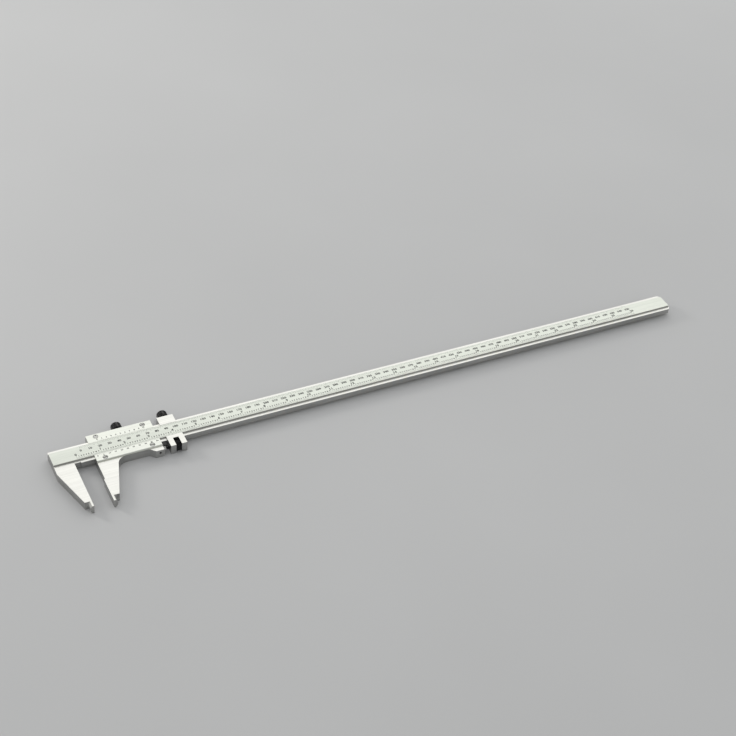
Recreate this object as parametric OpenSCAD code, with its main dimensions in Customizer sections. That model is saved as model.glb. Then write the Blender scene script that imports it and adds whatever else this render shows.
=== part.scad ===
// Long vernier caliper with nib jaws and a fine-adjustment clamp.
// Millimetres. X runs along the beam, Y across it with the jaws towards -Y, Z up out of the scale face.
// The origin is the middle of the whole outline, on the flat back that the caliper lies on.

/* [Beam] */
// Overall length of the beam
beam_length = 732; // [500:1:1000]
// Width of the beam
beam_width = 25.4; // [24.4:0.1:26.4]
// Thickness of the beam from its back to the scale face
beam_thick = 8; // [7.8:0.1:10]
// Width of the raised band that carries both scales
band_width = 17.5; // [12:0.1:19]
// Height of the scale band above the strips beside it
band_rise = 1.75; // [1.4:0.05:2.5]
// Chamfer of the corners at the beam's right end
end_chamfer = 2; // [0.5:0.1:4]

/* [Jaws] */
// Gap between the measuring faces as the caliper stands
opening = 20; // [5:0.5:60]
// Distance from the beam's left end to the fixed measuring face
fixed_face = 20.45; // [18:0.05:24]
// Reach of the nib tips below the beam's centre line
jaw_reach = 74; // [70:0.5:90]
// Distance from the centre line to the step above the nibs
nib_step = 66.75; // [60:0.25:68]
// Width of each nib, measured along the beam
nib_width = 3.81; // [3:0.01:6]
// Radius of the outer side of each nib, for inside measuring
nib_radius = 7; // [5.5:0.5:12]
// Width of the sliding jaw just above its nib
jaw_foot = 7.9; // [6:0.1:12]
// Width of the fixed jaw just above its nib
fixed_jaw_foot = 7.2; // [6:0.1:12]
// Length of the straight outer edge at the root of the fixed jaw
jaw_shoulder = 7.9; // [2:0.1:14]
// Relief of the upper part of the sliding jaw's face
face_relief = 1.15; // [0.5:0.05:2]
// Distance from the centre line to the top of the sliding jaw's measuring face
face_top = 43.4; // [30:0.1:55]
// Lean of the sliding jaw's outer edge from the vertical, in degrees
jaw_lean = 17.5; // [10:0.5:22]
// Radius between the sliding jaw and the frame
jaw_fillet = 11; // [4:0.5:16]

/* [Slider] */
// Length of the slider frame along the beam
slider_length = 68.3; // [60:0.1:80]
// Distance from the centre line to the slider's top edge
slider_top = 20.55; // [20:0.05:24]
// Distance from the centre line to the lower edge of the slider frame
slider_low = 18.65; // [18.45:0.05:22]
// Thickness of the web behind the beam
web_thick = 3.1; // [2.9:0.1:5]
// Length of the boss that holds the feed screw
boss_length = 8.6; // [6:0.1:14]
// Distance from the centre line to the lower edge of the boss and of the clamp
boss_low = 24.05; // [23:0.05:27]
// Distance from the slider's ends to the vernier plate screws
plate_screw_inset = 9.5; // [6:0.1:14]
// Diameter of a vernier plate screw's head
plate_screw_head = 4.8; // [3.6:0.1:4.8]

/* [Fine adjustment] */
// Free distance between the slider and the clamp
clamp_gap = 7.2; // [6.9:0.1:12]
// Length of the clamp along the beam
clamp_length = 17.3; // [14:0.1:24]
// Thickness of the clamp's lug on the slider's side of the adjusting nut
inner_lug = 5.6; // [4:0.1:8]
// Thickness of the clamp's lug on the other side of the nut
outer_lug = 5.7; // [4:0.1:8]
// Diameter of the knurled adjusting nut
nut_diameter = 10.6; // [8:0.1:10.8]
// Diameter of the feed screw
feed_diameter = 3; // [2.5:0.1:4]
// Length of the hexagonal lock nut on the feed screw
lock_nut_length = 2.8; // [2:0.1:3.1]

/* [Lock screws] */
// Diameter of a knurled lock knob
knob_diameter = 11; // [8:0.1:11.2]
// Height of a lock knob
knob_height = 9.4; // [6:0.1:12]
// Free space between a lock knob and the frame
knob_gap = 1.05; // [0.3:0.05:2]
// Diameter of a lock screw's stud
stud_diameter = 4.4; // [3:0.1:5]
// Length of the pressure pad under a lock screw
pad_length = 1.8; // [1:0.1:3]

/* [Hidden] */
$fn = 64;

steel_tint = "#d9dcd6";
plate_tint = "#e4e7da";
brass_tint = "#c9a24b";
black_tint = "#26272a";

cut = 0.5;                                     // overshoot of a cutting tool
slide_gap = 0.1;                               // clearance beside and behind the beam
plate_gap = 0.05;                              // clearance between a plate and a strip
thread_gap = 0.05;                             // radial clearance of a turning thread

beam_left = -beam_length / 2;
beam_half = beam_width / 2;
band_half = band_width / 2;
back_z = web_thick + slide_gap;                // the beam's back
face_z = back_z + beam_thick;                  // the scale face
strip_z = face_z - band_rise;                  // the strips beside the band, and the fixed jaw
leg_z = strip_z + plate_gap;                   // the slider frame and the sliding jaw
mid_z = face_z / 2;                            // axes of the lock screws and of the feed screw
leg_in = beam_half + slide_gap;                // inner sides of the frame's legs

knob_low = slider_top + knob_gap;
knob_top = knob_low + knob_height;
axis_y = (jaw_reach - knob_top) / 2;           // the beam's centre line

fixed_x = beam_left + fixed_face;
moving_x = fixed_x + opening;
slider_x = moving_x + face_relief;             // the slider's left end
slider_end = slider_x + slider_length;
clamp_x = slider_end + clamp_gap;
clamp_end = clamp_x + clamp_length;

boss_ramp = 5.4;                               // sloping run from the frame's edge to the boss
boss_fillet = 4;
relief_length = 6.35;                          // clearance notch in the corner of the fixed jaw
relief_depth = 1.2;

plate_in = band_half + slide_gap;              // inner edges of the vernier plates
plate_low = 18.4;                              // outer edge of the inch plate
plate_thick = face_z - leg_z;
plate_bevel = 0.45;                            // chamfer of a plate's outer edge
screw_sink = 1.15;                             // depth of the recess for a plate screw's head
screw_head_high = 1.05;
screw_ring = 0.3;                              // free ring around a plate screw's head
plate_screw_x = [slider_x + plate_screw_inset, slider_end - plate_screw_inset];
metric_screw_y = 16.3;
inch_screw_y = -15.2;
plate_screw_core = 1.25;
plate_screw_clear = 0.1;                       // clearance around a plate screw's shank
plate_screw_reach = 4.5;
plate_screw_slot = [0.9, 0.6];                 // width and depth

gib_thick = 1.4;
gib_high = 4.4;
gib_y = beam_half + plate_gap;
gib_end = 3;                                   // from a frame's end to its gib
gib_play = 0.1;                                // free length at each end of a gib
gib_back = gib_y + gib_thick;
gib_screw_core = 1.45;
gib_screw_inset = 17;
gib_screw_x = [slider_x + gib_screw_inset, slider_end - gib_screw_inset];
gib_screw_sink = 1;
gib_screw_slot = [0.6, 0.9];                   // width and depth

lock_run = 34.7;                               // from the slider's left end to its lock screw
slider_lock_x = slider_x + lock_run;
clamp_lock_x = clamp_x + clamp_length / 2;
knob_chamfer = 0.8;
knob_cover = 3;                                // metal of a knob over its stud's end

feed_drop = 6.85;                              // from the beam's edge to the feed screw's axis
feed_y = -(beam_half + feed_drop);
feed_core = feed_diameter / 2;
feed_seat = 7.6;                               // length of the feed screw inside the boss
feed_tip_gap = 0.6;                            // from the feed screw's tip to the clamp's outer end
feed_tip = 0.5;                                // chamfer of the feed screw's tip
feed_clear = 0.1;                              // clearance around the feed screw in the lugs
feed_start = slider_end - feed_seat;
feed_end = clamp_end - feed_tip_gap;
lock_nut_across = 5;
nut_play = 0.2;                                // end play of the nut between the lugs
nut_rim = 0.5;                                 // chamfer of the nut's rims
nut_x = clamp_x + inner_lug + nut_play;
nut_length = clamp_length - inner_lug - outer_lug - 2 * nut_play;
window_rim = 0.55;                             // from the beam's edge to the nut's window
anchor_inset = 4.1;
anchor_x = slider_end - anchor_inset;
anchor_core = 1.25;
anchor_sink = 0.4;
anchor_slot = [0.5, 0.7];                      // width and depth

stop_inset = 7;
stop_x = beam_length / 2 - stop_inset;
stop_core = 1.25;
stop_head = 2.5;
stop_head_high = 1.9;
stop_reach = 4;
stop_slot = [0.7, 0.8];                        // width and depth

// Moves a shape drawn about the beam's centre line into the part's frame
module on_beam() {
    translate([0, axis_y, 0]) children();
}

// A rectangular block between two corners
module block(low, high) {
    translate(low) cube(high - low);
}

// A round bar along X, Y or Z that starts at a point
module bar_x(at, r, length) {
    translate(at) rotate([0, 90, 0]) cylinder(r = r, h = length);
}
module bar_y(at, r, length) {
    translate(at) rotate([-90, 0, 0]) cylinder(r = r, h = length);
}
module bar_z(at, r, length) {
    translate(at) cylinder(r = r, h = length);
}

// A disc-shaped solid along Y with both rims chamfered
module chamfered_bar_y(at, r, length, chamfer) {
    translate(at) rotate([-90, 0, 0]) rotate_extrude()
        polygon([[0, 0], [r - chamfer, 0], [r, chamfer], [r, length - chamfer],
                 [r - chamfer, length], [0, length]]);
}

// Fills the corner p between two edges with a round of radius r;
// a and b are the unit directions of the edges, away from the corner
module corner_round(p, a, b, r) {
    half = acos(a * b) / 2;
    run = r / tan(half);
    centre = p + (a + b) / norm(a + b) * r / sin(half);
    difference() {
        polygon([p, p + a * run, centre, p + b * run]);
        translate(centre) circle(r = r, $fn = 128);
    }
}

// A nib: flat on its measuring side at x = 0 and rounded on the other
module nib(thick) {
    length = jaw_reach - nib_step;
    translate([0, -nib_step + cut, 0]) rotate([90, 0, 0]) linear_extrude(length + cut)
        intersection() {
            square([nib_width, thick]);
            translate([nib_width - nib_radius, thick / 2]) circle(r = nib_radius, $fn = 96);
        }
}

module fixed_jaw() {
    linear_extrude(strip_z)
        polygon([[beam_left, beam_half], [beam_left, -beam_half - jaw_shoulder],
                 [fixed_x - fixed_jaw_foot, -nib_step], [fixed_x, -nib_step], [fixed_x, beam_half]]);
    translate([fixed_x, 0, 0]) mirror([1, 0, 0]) nib(strip_z);
}

module main_beam() {
    color(steel_tint) on_beam() difference() {
        union() {
            translate([0, 0, back_z]) linear_extrude(strip_z - back_z) difference() {
                translate([beam_left, -beam_half]) square([beam_length, beam_width]);
                for (side = [-1, 1])
                    translate([-beam_left, side * beam_half]) rotate(45)
                        square(end_chamfer * sqrt(2), center = true);
            }
            block([beam_left, -band_half, back_z], [-beam_left, band_half, face_z]);
            fixed_jaw();
        }
        block([fixed_x, -beam_half - cut, -cut],
              [fixed_x + relief_length, -beam_half + relief_depth, face_z]);
        bar_z([stop_x, 0, back_z - cut], stop_core, stop_reach + cut);
    }
}

module end_stop_screw() {
    color(black_tint) on_beam() difference() {
        union() {
            bar_z([stop_x, 0, back_z - stop_head_high], stop_head, stop_head_high);
            bar_z([stop_x, 0, back_z - stop_head_high], stop_core, stop_head_high + stop_reach);
        }
        block([stop_x - stop_head - cut, -stop_slot[0] / 2, back_z - stop_head_high - cut],
              [stop_x + stop_head + cut, stop_slot[0] / 2, back_z - stop_head_high + stop_slot[1]]);
    }
}

// Outline of the slider's lower leg with its jaw and the feed screw's boss
module lower_leg_outline() {
    lean = [-sin(jaw_lean), -cos(jaw_lean)];
    foot_x = moving_x + jaw_foot;
    root_x = foot_x + (nib_step - slider_low) * tan(jaw_lean);
    ramp_x = slider_end - boss_length - boss_ramp;
    ramp = [boss_ramp, slider_low - boss_low];
    polygon([[slider_x, -leg_in], [slider_x, -face_top + face_relief], [moving_x, -face_top],
             [moving_x, -nib_step], [foot_x, -nib_step], [root_x, -slider_low],
             [ramp_x, -slider_low], [ramp_x + boss_ramp, -boss_low], [slider_end, -boss_low],
             [slider_end, -leg_in]]);
    corner_round([root_x, -slider_low], lean, [1, 0], jaw_fillet);
    corner_round([ramp_x, -slider_low], [-1, 0], ramp / norm(ramp), boss_fillet);
}

// The recess for a gib and the lock screw's bore above it, along Y
module gib_and_lock_cut(x_low, x_high, lock_x) {
    high = gib_high / 2 + plate_gap;
    block([x_low + gib_end - gib_play, leg_in - cut, mid_z - high],
          [x_high - gib_end + gib_play, gib_back + plate_gap, mid_z + high]);
    bar_y([lock_x, leg_in, mid_z], stud_diameter / 2 + thread_gap, slider_top);
}

module slider_frame() {
    color(steel_tint) on_beam() difference() {
        union() {
            block([slider_x, -leg_in - cut, 0], [slider_end, leg_in + cut, web_thick]);
            block([slider_x, leg_in, 0], [slider_end, slider_top, leg_z]);
            linear_extrude(leg_z) lower_leg_outline();
            translate([moving_x, 0, 0]) nib(leg_z);
        }
        gib_and_lock_cut(slider_x, slider_end, slider_lock_x);
        for (x = gib_screw_x) bar_y([x, leg_in, mid_z], gib_screw_core, slider_top);
        for (x = plate_screw_x, y = [metric_screw_y, inch_screw_y])
            bar_z([x, y, leg_z - plate_screw_reach], plate_screw_core, face_z);
        bar_x([feed_start, feed_y, mid_z], feed_core, slider_length);
        bar_y([anchor_x, -boss_low - cut, mid_z], anchor_core, boss_low + cut + feed_y);
    }
}

// A vernier plate between two Y edges, with its outer edge chamfered
module vernier_plate(edge_in, edge_out, screw_y) {
    side = sign(edge_out);
    difference() {
        translate([slider_x, 0, 0]) rotate([90, 0, 90]) linear_extrude(slider_length)
            polygon([[edge_in, leg_z], [edge_out, leg_z], [edge_out, face_z - plate_bevel],
                     [edge_out - side * plate_bevel, face_z], [edge_in, face_z]]);
        for (x = plate_screw_x) {
            bar_z([x, screw_y, leg_z - cut], plate_screw_core + plate_screw_clear,
                  plate_thick + 2 * cut);
            bar_z([x, screw_y, face_z - screw_sink], plate_screw_head / 2 + screw_ring, screw_sink + cut);
        }
    }
}

module metric_vernier_plate() {
    color(plate_tint) on_beam() vernier_plate(plate_in, slider_top, metric_screw_y);
}

module inch_vernier_plate() {
    color(plate_tint) on_beam() vernier_plate(-plate_in, -plate_low, inch_screw_y);
}

// A slotted screw in a vernier plate, its slot turned by an angle
module plate_screw(at, turn) {
    seat = face_z - screw_sink;
    tip = leg_z - plate_screw_reach;
    slot_floor = seat + screw_head_high - plate_screw_slot[1];
    translate(at) rotate(turn) difference() {
        union() {
            bar_z([0, 0, seat], plate_screw_head / 2, screw_head_high);
            bar_z([0, 0, tip], plate_screw_core, slot_floor - tip);
        }
        block([-plate_screw_head, -plate_screw_slot[0] / 2, slot_floor],
              [plate_screw_head, plate_screw_slot[0] / 2, face_z + cut]);
    }
}

module metric_plate_screws() {
    color(steel_tint) on_beam() {
        plate_screw([plate_screw_x[0], metric_screw_y, 0], 75);
        plate_screw([plate_screw_x[1], metric_screw_y, 0], 12);
    }
}

module inch_plate_screws() {
    color(steel_tint) on_beam() {
        plate_screw([plate_screw_x[0], inch_screw_y, 0], 10);
        plate_screw([plate_screw_x[1], inch_screw_y, 0], -8);
    }
}

// A gib strip between the beam's upper edge and a frame
module gib(x_low, x_high) {
    block([x_low + gib_end, gib_y, mid_z - gib_high / 2],
          [x_high - gib_end, gib_back, mid_z + gib_high / 2]);
}

module slider_gib() {
    color(brass_tint) on_beam() gib(slider_x, slider_end);
}

module slider_gib_screws() {
    top = slider_top - gib_screw_sink;
    half = gib_screw_slot[0] / 2;
    color(black_tint) on_beam() for (x = gib_screw_x) difference() {
        bar_y([x, gib_back, mid_z], gib_screw_core, top - gib_back);
        block([x - gib_screw_core - cut, top - gib_screw_slot[1], mid_z - half],
              [x + gib_screw_core + cut, top + cut, mid_z + half]);
    }
}

module lock_pad(x) {
    bar_y([x, gib_back + plate_gap, mid_z], stud_diameter / 2, pad_length);
}

module lock_stud(x) {
    low = gib_back + 2 * plate_gap + pad_length;
    bar_y([x, low, mid_z], stud_diameter / 2, knob_top - knob_cover - low);
}

module lock_knob(x) {
    difference() {
        chamfered_bar_y([x, knob_low, mid_z], knob_diameter / 2, knob_height, knob_chamfer);
        bar_y([x, knob_low - cut, mid_z], stud_diameter / 2, knob_height - knob_cover + cut);
    }
}

module slider_lock_pad() {
    color(brass_tint) on_beam() lock_pad(slider_lock_x);
}

module slider_lock_stud() {
    color(steel_tint) on_beam() lock_stud(slider_lock_x);
}

module slider_lock_knob() {
    color(black_tint) on_beam() lock_knob(slider_lock_x);
}

module feed_screw() {
    length = feed_end - feed_start;
    color(black_tint) on_beam() translate([feed_start, feed_y, mid_z]) rotate([0, 90, 0])
        rotate_extrude() polygon([[0, 0], [feed_core, 0], [feed_core, length - feed_tip],
                                  [feed_core - feed_tip, length], [0, length]]);
}

module feed_screw_anchor() {
    low = -boss_low + anchor_sink;
    half = anchor_slot[0] / 2;
    length = feed_y - feed_core - low;
    color(black_tint) on_beam() difference() {
        bar_y([anchor_x, low, mid_z], anchor_core, length);
        block([anchor_x - anchor_core - cut, low - cut, mid_z - half],
              [anchor_x + anchor_core + cut, low + anchor_slot[1], mid_z + half]);
    }
}

module feed_lock_nut() {
    color(steel_tint) on_beam() translate([slider_end, feed_y, mid_z]) rotate([0, 90, 0])
        difference() {
            cylinder(d = lock_nut_across / cos(30), h = lock_nut_length, $fn = 6);
            translate([0, 0, -cut]) cylinder(r = feed_core, h = lock_nut_length + 2 * cut);
        }
}

module clamp_frame() {
    color(steel_tint) on_beam() difference() {
        union() {
            block([clamp_x, -boss_low, 0], [clamp_end, slider_top, web_thick]);
            block([clamp_x, leg_in, 0], [clamp_end, slider_top, face_z]);
            block([clamp_x, -boss_low, 0], [clamp_end, -leg_in, face_z]);
            block([clamp_x, plate_in, leg_z], [clamp_end, leg_in + cut, face_z]);
            block([clamp_x, -leg_in - cut, leg_z], [clamp_end, -plate_in, face_z]);
        }
        gib_and_lock_cut(clamp_x, clamp_end, clamp_lock_x);
        block([clamp_x + inner_lug, -boss_low - cut, -cut],
              [clamp_end - outer_lug, -leg_in, leg_z]);
        block([clamp_x + inner_lug, -boss_low - cut, leg_z - cut],
              [clamp_end - outer_lug, -beam_half - window_rim, face_z + cut]);
        bar_x([clamp_x - cut, feed_y, mid_z], feed_core + feed_clear, clamp_length + 2 * cut);
    }
}

module clamp_gib() {
    color(brass_tint) on_beam() gib(clamp_x, clamp_end);
}

module clamp_lock_pad() {
    color(brass_tint) on_beam() lock_pad(clamp_lock_x);
}

module clamp_lock_stud() {
    color(steel_tint) on_beam() lock_stud(clamp_lock_x);
}

module clamp_lock_knob() {
    color(black_tint) on_beam() lock_knob(clamp_lock_x);
}

module adjusting_nut() {
    r = nut_diameter / 2;
    color(black_tint) on_beam() translate([nut_x, feed_y, mid_z]) rotate([0, 90, 0]) difference() {
        rotate_extrude() polygon([[0, 0], [r - nut_rim, 0], [r, nut_rim],
                                  [r, nut_length - nut_rim], [r - nut_rim, nut_length],
                                  [0, nut_length]]);
        translate([0, 0, -cut]) cylinder(r = feed_core + thread_gap, h = nut_length + 2 * cut);
    }
}

main_beam();
end_stop_screw();
slider_frame();
metric_vernier_plate();
inch_vernier_plate();
metric_plate_screws();
inch_plate_screws();
slider_gib();
slider_gib_screws();
slider_lock_pad();
slider_lock_stud();
slider_lock_knob();
feed_screw();
feed_screw_anchor();
feed_lock_nut();
clamp_frame();
clamp_gib();
clamp_lock_pad();
clamp_lock_stud();
clamp_lock_knob();
adjusting_nut();
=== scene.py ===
import math

import bmesh
import bpy
from mathutils import Matrix, Quaternion, Vector
from mathutils.geometry import delaunay_2d_cdt


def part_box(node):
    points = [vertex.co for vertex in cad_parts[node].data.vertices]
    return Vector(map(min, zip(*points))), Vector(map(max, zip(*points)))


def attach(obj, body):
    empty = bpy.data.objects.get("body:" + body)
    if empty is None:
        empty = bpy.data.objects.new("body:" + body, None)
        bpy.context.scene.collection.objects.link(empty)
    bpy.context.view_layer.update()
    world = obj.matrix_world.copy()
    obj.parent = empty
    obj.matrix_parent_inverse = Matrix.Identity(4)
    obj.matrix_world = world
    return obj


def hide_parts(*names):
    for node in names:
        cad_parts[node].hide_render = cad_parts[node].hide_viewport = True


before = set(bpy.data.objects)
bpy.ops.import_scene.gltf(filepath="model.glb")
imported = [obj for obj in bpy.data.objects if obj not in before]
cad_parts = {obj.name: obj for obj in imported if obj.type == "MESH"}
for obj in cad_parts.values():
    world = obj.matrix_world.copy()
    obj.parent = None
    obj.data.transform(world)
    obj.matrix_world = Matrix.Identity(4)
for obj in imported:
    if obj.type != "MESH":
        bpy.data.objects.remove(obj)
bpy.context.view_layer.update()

MM = 0.001
scene = bpy.context.scene

# ---------------------------------------------------------------- camera

CAMERA_AT = (-0.6322, -1.0795, 1.1039)
CAMERA_AZIMUTH = -29.14
CAMERA_ELEVATION = 40.55
CAMERA_ROLL = 5.54
SENSOR = 36
LENS = 76.1


def make_camera():
    data = bpy.data.cameras.new("camera")
    data.sensor_width = SENSOR
    data.lens = LENS
    data.clip_start = 0.01
    data.clip_end = 60
    camera = bpy.data.objects.new("camera", data)
    scene.collection.objects.link(camera)
    azimuth, elevation = math.radians(CAMERA_AZIMUTH), math.radians(CAMERA_ELEVATION)
    back = Vector((math.sin(azimuth) * math.cos(elevation),
                   -math.cos(azimuth) * math.cos(elevation), math.sin(elevation)))
    camera.location = CAMERA_AT
    camera.rotation_mode = "QUATERNION"
    camera.rotation_quaternion = ((-back).to_track_quat("-Z", "Y")
                                  @ Quaternion((0, 0, 1), math.radians(CAMERA_ROLL)))
    scene.camera = camera


make_camera()

# ---------------------------------------------------------------- materials


class Nodes:
    """A short way to write a material's node tree."""

    def __init__(self, name):
        self.material = bpy.data.materials.new(name)
        self.material.use_nodes = True
        self.tree = self.material.node_tree
        self.shader = self.tree.nodes["Principled BSDF"]
        self.place = self.add("ShaderNodeTexCoord").outputs["Object"]

    def add(self, kind, **values):
        node = self.tree.nodes.new(kind)
        for key, value in values.items():
            setattr(node, key, value)
        return node

    def link(self, a, b):
        self.tree.links.new(a, b)

    def noise(self, scale, detail, rough, stretch=(1, 1, 1), turn=(0, 0, 0)):
        mapping = self.add("ShaderNodeMapping")
        mapping.inputs["Scale"].default_value = stretch
        mapping.inputs["Rotation"].default_value = turn
        self.link(self.place, mapping.inputs["Vector"])
        node = self.add("ShaderNodeTexNoise")
        node.inputs["Scale"].default_value = scale
        node.inputs["Detail"].default_value = detail
        node.inputs["Roughness"].default_value = rough
        self.link(mapping.outputs["Vector"], node.inputs["Vector"])
        return node.outputs["Fac"]

    def ramp(self, value, low, high, at=(0.3, 0.7)):
        """Maps a value between two grey levels or two colours."""
        node = self.add("ShaderNodeValToRGB")
        for stop, place, level in zip(node.color_ramp.elements, at, (low, high)):
            stop.position = place
            stop.color = (*level, 1) if isinstance(level, tuple) else (level, level, level, 1)
        self.link(value, node.inputs["Fac"])
        return node.outputs["Color"]

    def mix(self, fac, a, b, kind="MIX"):
        node = self.add("ShaderNodeMix", data_type="RGBA", blend_type=kind)
        for socket, value in zip((node.inputs[0], node.inputs[6], node.inputs[7]), (fac, a, b)):
            if isinstance(value, bpy.types.NodeSocket):
                self.link(value, socket)
            else:
                socket.default_value = value
        return node.outputs[2]

    def bump(self, value, strength, distance, under=None):
        node = self.add("ShaderNodeBump")
        node.inputs["Strength"].default_value = strength
        node.inputs["Distance"].default_value = distance
        self.link(value, node.inputs["Height"])
        if under:
            self.link(under, node.inputs["Normal"])
        return node.outputs["Normal"]

    def finish(self, colour, roughness, normal, **constants):
        self.link(colour, self.shader.inputs["Base Color"])
        self.link(roughness, self.shader.inputs["Roughness"])
        self.link(normal, self.shader.inputs["Normal"])
        for name, value in constants.items():
            self.shader.inputs[name.replace("_", " ")].default_value = value
        return self.material


def satin_metal(name, low, high, rough, grain=(14, 1500, 1500), scratch=0.3, hair=0.86):
    """Plated steel: fine grinding lines, faint scratches and a slow change of tint."""
    m = Nodes(name)
    lines = m.noise(1.0, 4.0, 0.65, grain)
    broad = m.noise(1.0, 3.0, 0.6, (6, 160, 160))
    fine = m.noise(900.0, 3.0, 0.6)
    cloud = m.noise(28.0, 4.0, 0.6, (0.5, 1.6, 1))
    marks = m.noise(1.0, 2.0, 0.5, (90, 2600, 2600), (0, 0, math.radians(24)))
    tint = m.ramp(cloud, low, high, (0.3, 0.72))
    colour = m.mix(1.0, tint, m.ramp(lines, hair, 1.0, (0.36, 0.6)), "MULTIPLY")
    colour = m.mix(1.0, colour, m.ramp(broad, 0.95, 1.0, (0.36, 0.6)), "MULTIPLY")
    nick = m.ramp(marks, 0.0, scratch, (0.70, 0.76))
    colour = m.mix(nick, colour, (0.50, 0.51, 0.50, 1))
    spread = 0.09
    roughness = m.mix(0.5, m.ramp(lines, rough - spread, rough + spread),
                      m.ramp(cloud, rough - spread, rough + spread))
    normal = m.bump(fine, 0.12, 0.00002)
    normal = m.bump(lines, 0.30, 0.00003, normal)
    return m.finish(colour, roughness, normal, Metallic=1.0)


def black_oxide(name, low, high, rough):
    """Blackened steel with a slightly uneven oiled surface."""
    m = Nodes(name)
    cloud = m.noise(260.0, 5.0, 0.6)
    fine = m.noise(2600.0, 3.0, 0.6)
    colour = m.ramp(cloud, low, high)
    roughness = m.ramp(cloud, rough - 0.08, rough + 0.10)
    normal = m.bump(fine, 0.25, 0.00003)
    return m.finish(colour, roughness, normal, Metallic=0.0, Specular_IOR_Level=0.2)


def paint(name, low, high):
    """The filling of an engraved mark, or painted shade in a recess."""
    m = Nodes(name)
    grain = m.noise(3800.0, 3.0, 0.6)
    return m.finish(m.ramp(grain, low, high), m.ramp(grain, 0.55, 0.8),
                    m.bump(grain, 0.3, 0.00001), Metallic=0.0)


def floor_material():
    m = Nodes("pale_floor")
    cloud = m.noise(2.2, 3.0, 0.5)
    grain = m.noise(420.0, 4.0, 0.6)
    return m.finish(m.ramp(cloud, (0.60, 0.60, 0.595), (0.63, 0.63, 0.625)),
                    m.ramp(grain, 0.72, 0.85), m.bump(grain, 0.08, 0.0002))


STEEL = satin_metal("satin_steel_bright", (0.825, 0.82, 0.77), (0.90, 0.893, 0.845), 0.34)
# the side steel's rougher, coarser grain is the milled finish; its darker colour is painted shade
# on the walls
SIDE_MILLED_SHADED = satin_metal("satin_steel_side_painted_shade", (0.48, 0.48, 0.465), (0.58, 0.58, 0.565), 0.40,
                   (30, 900, 1800), 0.3, 0.8)
PLATE = satin_metal("scale_plate_matt", (0.72, 0.745, 0.675), (0.775, 0.80, 0.73), 0.44,
                    (60, 900, 900), 0.2, 0.92)
VERNIER = satin_metal("vernier_plate_matt", (0.83, 0.845, 0.775), (0.885, 0.90, 0.83), 0.42,
                      (60, 900, 900), 0.2, 0.92)
SCREW = satin_metal("turned_steel", (0.44, 0.44, 0.42), (0.58, 0.58, 0.55), 0.27, (700, 700, 700))
THREAD = satin_metal("thread_steel", (0.46, 0.46, 0.45), (0.62, 0.62, 0.60), 0.32, (500, 900, 500))
BRASS = satin_metal("gib_brass_satin", (0.60, 0.43, 0.17), (0.74, 0.56, 0.26), 0.36, (40, 900, 900))
BLACK = black_oxide("black_oxide", (0.003, 0.003, 0.0035), (0.008, 0.008, 0.009), 0.26)
BLACK_SCREW = black_oxide("black_oxide_screw", (0.006, 0.006, 0.007), (0.018, 0.018, 0.019), 0.36)
# painted shade for the vernier plates' screw recesses
RECESS_SHADE = paint("recess_painted_shade", (0.020, 0.020, 0.019), (0.060, 0.058, 0.052))
INK = paint("engraving_black", (0.006, 0.006, 0.007), (0.020, 0.020, 0.020))

# ---------------------------------------------------------------- mesh tools


def make_piece(name, bm, materials, body, nodes, smooth=25.0):
    """Turns a bmesh in metres into a piece that stands for CAD nodes and rides on a body."""
    mesh = bpy.data.meshes.new(name)
    bm.to_mesh(mesh)
    bm.free()
    for material in materials:
        mesh.materials.append(material)
    mesh.polygons.foreach_set("use_smooth", [True] * len(mesh.polygons))
    mesh.set_sharp_from_angle(angle=math.radians(smooth))
    piece = bpy.data.objects.new(name, mesh)
    scene.collection.objects.link(piece)
    normals = piece.modifiers.new("normals", "WEIGHTED_NORMAL")
    normals.keep_sharp = True
    normals.weight = 60
    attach(piece, body)
    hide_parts(*nodes)
    return piece


def cad_copy(node, bevel, above=-1.0):
    """A welded copy of a CAD node's mesh with its outer edges softened by a small round.

    Edges that lie wholly below a Y, such as a nib's, stay crisp."""
    bm = bmesh.new()
    bm.from_mesh(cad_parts[node].data)
    bmesh.ops.remove_doubles(bm, verts=bm.verts, dist=1e-6)
    bmesh.ops.dissolve_limit(bm, angle_limit=math.radians(0.6), verts=bm.verts, edges=bm.edges)
    bmesh.ops.recalc_face_normals(bm, faces=bm.faces)
    edges = [e for e in bm.edges
             if len(e.link_faces) == 2 and e.is_convex and e.calc_face_angle() > math.radians(30)
             and max(v.co.y for v in e.verts) > above]
    bmesh.ops.bevel(bm, geom=edges, offset=bevel * MM, offset_type="OFFSET", segments=2,
                    profile=0.5, affect="EDGES", clamp_overlap=True)
    return bm


def sides_darker(bm, index):
    """Gives the walls the rougher grain of the milled sides and a darker steel colour that is
    painted shade; the ground faces keep theirs.
    """
    for face in bm.faces:
        if abs(face.normal.z) < 0.3:
            face.material_index = index


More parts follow.
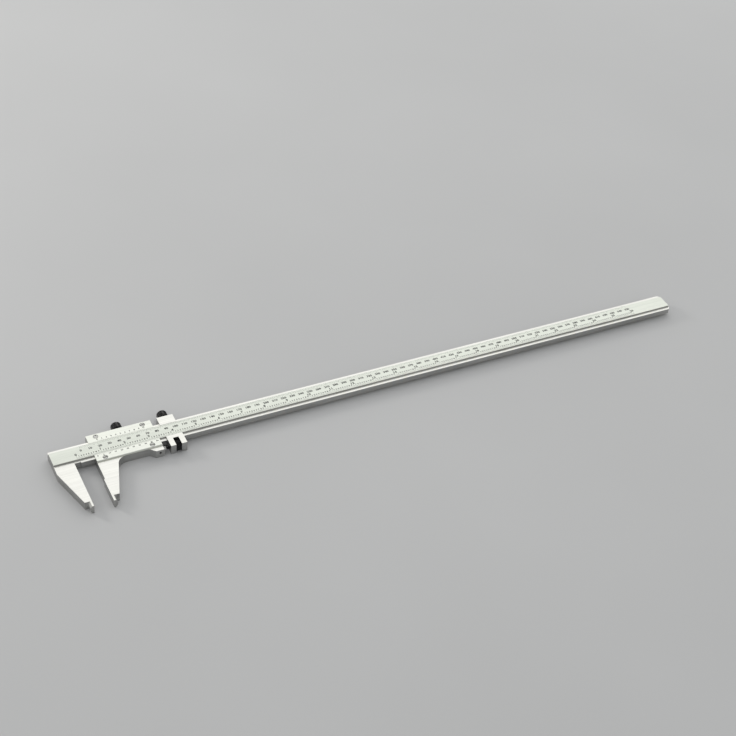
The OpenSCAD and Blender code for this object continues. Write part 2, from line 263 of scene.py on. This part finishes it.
class Marks:
    """Closed outlines drawn on a face, in millimetres."""

    texts = {}                                     # the outlines of the numbers met so far
    spread = 1.12                                  # widens the numbers

    def __init__(self):
        self.points = []
        self.edges = []

    def tick(self, x, y_from, y_to, width=0.11):
        start = len(self.points)
        half = width / 2
        self.points += [(x - half, y_from), (x + half, y_from), (x + half, y_to), (x - half, y_to)]
        self.edges += [(start + i, start + (i + 1) % 4) for i in range(4)]

    def number(self, text, x, y, height):
        points, edges = self.outline(text)
        start = len(self.points)
        self.points += [(x + px * height * self.spread, y + py * height) for px, py in points]
        self.edges += [(start + a, start + b) for a, b in edges]

    def label(self, text, x, style):
        """A number at a stated place across the beam and of a stated height."""
        across, height = style
        self.number(text, x, axis_y + across, height)

    @classmethod
    def outline(cls, text):
        """The contour of a number of height 1, centred on the origin."""
        if text not in cls.texts:
            curve = bpy.data.curves.new("number", "FONT")
            curve.body = text
            curve.resolution_u = 3
            curve.offset = 0.038
            holder = bpy.data.objects.new("number", curve)
            scene.collection.objects.link(holder)
            mesh = holder.evaluated_get(bpy.context.evaluated_depsgraph_get()).to_mesh()
            bm = bmesh.new()
            bm.from_mesh(mesh)
            bmesh.ops.remove_doubles(bm, verts=bm.verts, dist=1e-5)
            rim = [e for e in bm.edges if len(e.link_faces) == 1]
            used = sorted({v.index for e in rim for v in e.verts})
            bm.verts.ensure_lookup_table()
            at = {index: bm.verts[index].co.copy() for index in used}
            low = Vector((min(c.x for c in at.values()), min(c.y for c in at.values())))
            high = Vector((max(c.x for c in at.values()), max(c.y for c in at.values())))
            order = {index: n for n, index in enumerate(used)}
            scale, middle = 1 / (high.y - low.y), (low + high) / 2
            cls.texts[text] = (
                [((at[i].x - middle.x) * scale, (at[i].y - middle.y) * scale) for i in used],
                [(order[e.verts[0].index], order[e.verts[1].index]) for e in rim])
            bm.free()
            bpy.data.objects.remove(holder)
            bpy.data.curves.remove(curve)
        return cls.texts[text]


def engrave(bm, level, marks, depth, plain=0, ink=1):
    """Cuts the marks into the flat faces at a height, with walls and a sunken inked floor."""
    top = {f for f in bm.faces
           if f.normal.z > 0.9999 and abs(f.calc_center_median().z - level) < 2e-6}
    rim = [e for e in bm.edges if sum(f in top for f in e.link_faces) == 1]
    rim_verts = list({v: None for e in rim for v in e.verts})
    number = {v: n for n, v in enumerate(rim_verts)}
    rim_pairs = [(number[e.verts[0]], number[e.verts[1]]) for e in rim]
    bmesh.ops.delete(bm, geom=list(top), context="FACES")
    shift = len(rim_verts)
    points = [Vector((v.co.x / MM, v.co.y / MM)) for v in rim_verts]
    points += [Vector(p) for p in marks.points]
    pairs = rim_pairs + [(a + shift, b + shift) for a, b in marks.edges]
    flat, lines, faces, from_points, from_pairs, _ = delaunay_2d_cdt(
        points, pairs, [], 0, 1e-6, True)

    is_rim, is_mark = set(), set()
    for line, sources in zip(lines, from_pairs):
        key = frozenset(line)
        if any(n < len(rim_pairs) for n in sources):
            is_rim.add(key)
        elif len(sources) % 2:                     # outlines that share an edge cancel out
            is_mark.add(key)
    beside = {}
    for index, face in enumerate(faces):
        for a, b in zip(face, face[1:] + face[:1]):
            beside.setdefault(frozenset((a, b)), []).append(index)
    # walk over the triangles from outside; a rim edge turns void to metal, a mark's edge to ink
    state = {}
    queue = [(found[0], key in is_rim, False) for key, found in beside.items() if len(found) == 1]
    while queue:
        index, solid, sunk = queue.pop()
        if index in state:
            continue
        state[index] = (solid, sunk)
        face = faces[index]
        for a, b in zip(face, face[1:] + face[:1]):
            key = frozenset((a, b))
            for other in beside[key]:
                if other not in state:
                    queue.append((other, solid != (key in is_rim), sunk != (key in is_mark)))

    high, low = {}, {}

    def top_vert(n):
        if n not in high:
            known = [p for p in from_points[n] if p < shift]
            high[n] = rim_verts[known[0]] if known else bm.verts.new(
                (flat[n].x * MM, flat[n].y * MM, level))
        return high[n]

    def low_vert(n):
        if n not in low:
            low[n] = bm.verts.new((flat[n].x * MM, flat[n].y * MM, level - depth * MM))
        return low[n]

    for index, face in enumerate(faces):
        solid, sunk = state[index]
        if not solid:
            continue
        a, b, c = (flat[n] for n in face)
        if (b - a).cross(c - a) < 0:
            face = face[::-1]
        made = bm.faces.new([(low_vert if sunk else top_vert)(n) for n in face])
        made.material_index = ink if sunk else plain
        if sunk:
            for a, b in zip(face, face[1:] + face[:1]):
                if frozenset((a, b)) in is_mark:
                    wall = bm.faces.new([top_vert(a), top_vert(b), low_vert(b), low_vert(a)])
                    wall.normal_flip()
                    wall.material_index = ink
    bm.normal_update()


def rings(bm, sections, closed_start=True, closed_end=True):
    """Joins rings of points, each a list of the same length, into a skin."""
    loops = [[bm.verts.new(p) for p in ring] for ring in sections]
    for below, above in zip(loops, loops[1:]):
        count = len(below)
        for i in range(count):
            j = (i + 1) % count
            bm.faces.new((below[i], below[j], above[j], above[i]))
    if closed_start:
        bm.faces.new(loops[0][::-1])
    if closed_end:
        bm.faces.new(loops[-1])
    return loops


def along(axis, centre):
    """Maps (radius, angle, distance) about an axis through a centre to a point in metres."""
    turn = {"x": Matrix(((0, 0, 1), (1, 0, 0), (0, 1, 0))),
            "y": Matrix(((0, 1, 0), (0, 0, 1), (1, 0, 0)))}[axis]
    return lambda r, a, d: centre + turn @ Vector((r * math.cos(a), r * math.sin(a), d)) * MM


def knurled(profile, teeth, depth, place, bore=None):
    """A turned part with straight knurling where its profile says so.

    The profile lists (distance, radius, how much of the knurling shows)."""
    steps = 6
    count = teeth * steps
    shape = (0.0, 0.12, 0.62, 1.0, 0.62, 0.12)
    bm = bmesh.new()
    sections = []
    for distance, radius, share in profile:
        sections.append([place(radius - depth * share * (1 - shape[i % steps]),
                               2 * math.pi * i / count, distance) for i in range(count)])
    if bore:
        first, last = profile[0][0], profile[-1][0]
        for distance, radius in ((last, bore + 0.25), (last - 0.25, bore), (first + 0.25, bore),
                                 (first, bore + 0.25)):
            sections.append([place(radius, 2 * math.pi * i / count, distance)
                             for i in range(count)])
        sections.append(sections[0])
        rings(bm, sections, False, False)
        bmesh.ops.remove_doubles(bm, verts=bm.verts, dist=1e-7)
    else:
        rings(bm, sections)
    bmesh.ops.recalc_face_normals(bm, faces=bm.faces)
    return bm


def threaded(radius, start, end, pitch, deep, place, tip, around):
    """A screw thread of a given pitch, run out at both ends."""
    shape = (0.0, 0.08, 0.5, 0.92, 1.0, 0.92, 0.5, 0.08)
    steps = len(shape)
    bm = bmesh.new()
    sections = []
    count = int(round((end - start) / pitch * steps))
    for n in range(count + 1):
        distance = start + (end - start) * n / count
        ends = min(distance - start, end - distance)
        limit = radius - max(0.0, tip - ends)
        ring = []
        for i in range(around):
            phase = (n - i * steps / around) % steps
            low = int(phase)
            level = shape[low] + (phase - low) * (shape[(low + 1) % steps] - shape[low])
            ring.append(place(min(limit, radius - deep * (1 - level)),
                              2 * math.pi * i / around, distance))
        sections.append(ring)
    rings(bm, sections)
    bmesh.ops.recalc_face_normals(bm, faces=bm.faces)
    return bm


# ---------------------------------------------------------------- places from the frame

beam_low, beam_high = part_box("main_beam")
metric_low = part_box("metric_vernier_plate")[0]
inch_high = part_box("inch_vernier_plate")[1]
face_z = beam_high.z
beam_left = beam_low.x / MM
NIB = 7.35                                         # a nib's length, with a little of the step
nib_line = beam_low.y + NIB * MM
axis_y = (metric_low.y + inch_high.y) / 2 / MM     # the beam's centre line
PLATE_PLAY = 0.1                                   # between the band and a vernier plate
band_half = metric_low.y / MM - axis_y - PLATE_PLAY
FIXED_FACE = 20.45                                 # from the beam's end to the measuring face
OPENING = 20                                       # the gap between the jaws at rest
INCH = 25.4
metric_zero = beam_left + FIXED_FACE + 10.85
inch_zero = metric_zero - 6.6
MARK_INSET = 0.45                                  # from the band's edge to its marks
METRIC_LENGTH = 650
INCH_LENGTH = 26
METRIC_LABEL = (2.35, 2.85)                        # place across the beam, and height
INCH_LABEL = (-1.95, 3.1)
TENTH_LABEL = (-4.6, 1.8)

# ---------------------------------------------------------------- beam with its two scales


def beam_scales():
    marks = Marks()
    edge = axis_y + band_half - MARK_INSET
    for n in range(METRIC_LENGTH + 1):
        length = 4.2 if n % 10 == 0 else 3.4 if n % 5 == 0 else 2.4
        marks.tick(metric_zero + n, edge - length, edge)
        if n % 10 == 0:
            marks.label(str(n), metric_zero + n, METRIC_LABEL)
    edge = axis_y - band_half + MARK_INSET
    for n in range(INCH_LENGTH * 40 + 1):
        x = inch_zero + n * INCH / 40
        if n % 40 == 0:
            marks.tick(x, edge, edge + 4.3, 0.16)
            marks.label(str(n // 40), x, INCH_LABEL)
        elif n % 4 == 0:
            marks.tick(x, edge, edge + 2.6)
            marks.label(str(n % 40 // 4), x, TENTH_LABEL)
        else:
            marks.tick(x, edge, edge + (2.2 if n % 2 == 0 else 1.8))
    return marks


def make_beam():
    bm = cad_copy("main_beam", 0.2, above=nib_line)
    sides_darker(bm, 3)
    engrave(bm, face_z, beam_scales(), 0.04, 1, 2)
    make_piece("beam_with_scales", bm, (STEEL, PLATE, INK, SIDE_MILLED_SHADED), "beam", ["main_beam"])


make_beam()


# ---------------------------------------------------------------- vernier plates


def vernier_marks(zero, length, side, labels, label_y, height):
    """Fifty divisions from the plate's inner edge; side is +1 above the beam, -1 below."""
    marks = Marks()
    edge = axis_y + side * (band_half + PLATE_PLAY + 0.3)
    for n in range(51):
        x = zero + length * n / 50
        run = 2.0 if n % 5 == 0 else 1.3
        if side < 0:
            run = 1.25 if n % 5 == 0 else 0.85
        marks.tick(x, *sorted((edge, edge + side * run)), 0.12)
        if n % 5 == 0:
            marks.number(labels[n // 5], x, axis_y + side * label_y, height)
    return marks


def make_plate(name, node, marks):
    bm = cad_copy(node, 0.12)
    low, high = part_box(node)
    inset = MM / 4
    for face in bm.faces:                          # the screws' recesses get a dark colour as painted shade
        at = face.calc_center_median()
        if (low.x + MM < at.x < high.x - MM and low.y + inset < at.y < high.y - inset
                and low.z + inset < at.z < high.z - inset / 2):
            face.material_index = 2
    engrave(bm, face_z, marks, 0.035)
    make_piece(name, bm, (VERNIER, INK, RECESS_SHADE), "slider", [node])


make_plate("metric_vernier", "metric_vernier_plate",
           vernier_marks(metric_zero + OPENING, 49, 1, [str(n) for n in range(11)], 12.2, 1.8))
make_plate("inch_vernier", "inch_vernier_plate",
           vernier_marks(inch_zero + OPENING, 2.45 * INCH, -1, [str(5 * n) for n in range(11)],
                         11.3, 1.7))

# ---------------------------------------------------------------- frames, gibs and screws

for node, body in (("slider_frame", "slider"), ("clamp_frame", "clamp")):
    shape = cad_copy(node, 0.25, above=nib_line)
    sides_darker(shape, 1)
    make_piece(node + "_ground", shape, (STEEL, SIDE_MILLED_SHADED), body, [node])

for node, body, material, slot, bevel in (
        ("slider_gib", "slider", BRASS, "gib_brass", 0.12),
        ("clamp_gib", "clamp", BRASS, "gib_brass", 0.12),
        ("slider_lock_pad", "slider_lock_pad", BRASS, "gib_brass", 0.15),
        ("clamp_lock_pad", "clamp_lock_pad", BRASS, "gib_brass", 0.15),
        ("metric_plate_screws", "slider", SCREW, "bright_screw", 0.14),
        ("inch_plate_screws", "slider", SCREW, "bright_screw", 0.14),
        ("feed_lock_nut", "slider", SCREW, "bright_screw", 0.15),
        ("slider_gib_screws", "slider", BLACK_SCREW, "blackened_steel", 0.12),
        ("feed_screw_anchor", "slider", BLACK_SCREW, "blackened_steel", 0.12),
        ("end_stop_screw", "beam", BLACK_SCREW, "blackened_steel", 0.2)):
    make_piece(node + "_fine", cad_copy(node, bevel), (material,), body, [node])

# ---------------------------------------------------------------- knobs, studs, nut and feed screw


def middle(node):
    low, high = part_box(node)
    return (low + high) / 2, (high - low) / 2


def make_lock(side):
    centre, half = middle(side + "_lock_knob")
    radius, low, high = half.x / MM, -half.y / MM, half.y / MM
    place = along("y", centre)
    profile = [(low, radius - 2.6, 0), (low, radius - 1.1, 0), (low + 0.25, radius - 0.75, 0),
               (low + 0.9, radius - 0.7, 0), (low + 1.15, radius - 0.45, 0.3),
               (low + 1.6, radius, 1), (high - 1.25, radius, 1), (high - 0.7, radius - 0.35, 0.5),
               (high - 0.35, radius - 0.75, 0), (high - 0.1, radius - 1.25, 0),
               (high, radius - 1.8, 0), (high, radius - 2.6, 0), (high - 0.22, radius - 3.0, 0),
               (high - 0.3, radius - 4.4, 0)]
    bm = knurled(profile, 40, 0.34, place)
    make_piece(side + "_lock_knob_knurled", bm, (BLACK,), side + "_lock_screw",
               [side + "_lock_knob"], 30)
    centre, half = middle(side + "_lock_stud")
    bm = threaded(half.x / MM, -half.y / MM, half.y / MM, 0.7, 0.32, along("y", centre), 0.5, 40)
    make_piece(side + "_lock_stud_threaded", bm, (THREAD,), side + "_lock_screw",
               [side + "_lock_stud"], 60)


make_lock("slider")
make_lock("clamp")


def make_feed():
    centre, half = middle("adjusting_nut")
    radius, low, high = half.y / MM, -half.x / MM, half.x / MM
    profile = [(low, radius - 0.75, 0), (low + 0.18, radius - 0.5, 0.2), (low + 0.6, radius, 1),
               (high - 0.6, radius, 1), (high - 0.18, radius - 0.5, 0.2), (high, radius - 0.75, 0)]
    bm = knurled(profile, 36, 0.34, along("x", centre), 1.55)
    make_piece("adjusting_nut_knurled", bm, (BLACK,), "adjusting_nut", ["adjusting_nut"],
               30)
    centre, half = middle("feed_screw")
    bm = threaded(half.y / MM, -half.x / MM, half.x / MM, 0.5, 0.24, along("x", centre), 0.4, 28)
    make_piece("feed_screw_threaded", bm, (BLACK_SCREW,), "slider", ["feed_screw"],
               60)


make_feed()

# ---------------------------------------------------------------- studio


def make_floor():
    bm = bmesh.new()
    bmesh.ops.create_grid(bm, x_segments=8, y_segments=8, size=60)
    mesh = bpy.data.meshes.new("floor")
    bm.to_mesh(mesh)
    bm.free()
    mesh.materials.append(floor_material())
    floor = bpy.data.objects.new("floor", mesh)
    floor.location.z = -0.0002                     # just clear of the caliper's back
    scene.collection.objects.link(floor)


def area_light(name, at, aim, width, height, power, colour):
    data = bpy.data.lights.new(name, "AREA")
    data.shape = "RECTANGLE"
    data.size = width
    data.size_y = height
    data.energy = power
    data.color = colour
    light = bpy.data.objects.new(name, data)
    scene.collection.objects.link(light)
    light.location = at
    light.rotation_mode = "QUATERNION"
    light.rotation_quaternion = (Vector(aim) - Vector(at)).to_track_quat("-Z", "Y")


make_floor()
area_light("softbox", (1.2, 1.9, 1.9), (0.1, 0, 0), 4.2, 2.8, 26, (1.0, 0.995, 0.975))
area_light("key", (-1.3, 1.4, 0.8), (-0.2, 0, 0), 0.4, 0.4, 8, (1.0, 0.98, 0.95))
world = bpy.data.worlds.new("studio")
world.use_nodes = True
world.node_tree.nodes["Background"].inputs["Color"].default_value = (0.97, 0.985, 1.0, 1)
world.node_tree.nodes["Background"].inputs["Strength"].default_value = 0.58
scene.world = world
scene.view_settings.view_transform = "Standard"
scene.view_settings.look = "None"
scene.view_settings.exposure = 0.0
scene.view_settings.gamma = 1.0

# ---------------------------------------------------------------- sizes as plain lists


def plain(bounds):
    return [[float(v) for v in corner] for corner in bounds]
